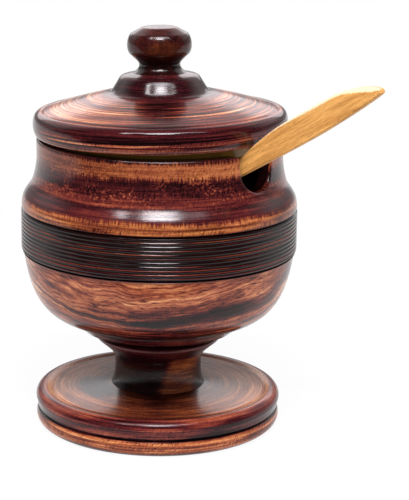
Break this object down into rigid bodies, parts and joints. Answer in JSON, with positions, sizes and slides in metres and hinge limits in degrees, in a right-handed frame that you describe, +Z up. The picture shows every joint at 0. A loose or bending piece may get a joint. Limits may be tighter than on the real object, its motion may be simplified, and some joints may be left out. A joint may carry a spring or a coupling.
{
  "type": "sugar bowl",
  "caption": "Turned wooden sugar bowl on a pedestal foot, with a domed lift-off lid propped on a wooden spoon that leaves through a notch in the rim.",
  "frame": {"origin": "middle of the foot's flat underside, on the bowl's turning axis", "axes": "+Z up along the turning axis of foot, stem and bowl; the spoon points to +X and -Y"},
  "size_m": [0.1232, 0.1132, 0.1458],
  "materials": {
    "stained_wood": "stained, burnt and lacquered",
    "dark_wood": "dark stain, lacquered",
    "pale_wood": "plain sanded",
    "dowel_wood": "plain"
  },
  "bodies": {
    "vessel": {"foot": "stained_wood", "stem": "dark_wood", "bowl": "stained_wood", "foot_dowel": "dowel_wood", "bowl_dowel": "dowel_wood"},
    "lid": {"lid": "stained_wood", "knob": "dark_wood", "knob_dowel": "dowel_wood"},
    "spoon": {"spoon": "pale_wood"}
  },
  "joints": [
    {"name": "lid_lift", "type": "slide", "parent": "vessel", "child": "lid", "axis": [0, 0, 1], "range_m": [0, 0.06]},
    {"name": "spoon_draw", "type": "slide", "parent": "vessel", "child": "spoon", "axis": [0.6913, -0.5022, 0.5195], "range_m": [0, 0.055]}
  ]
}
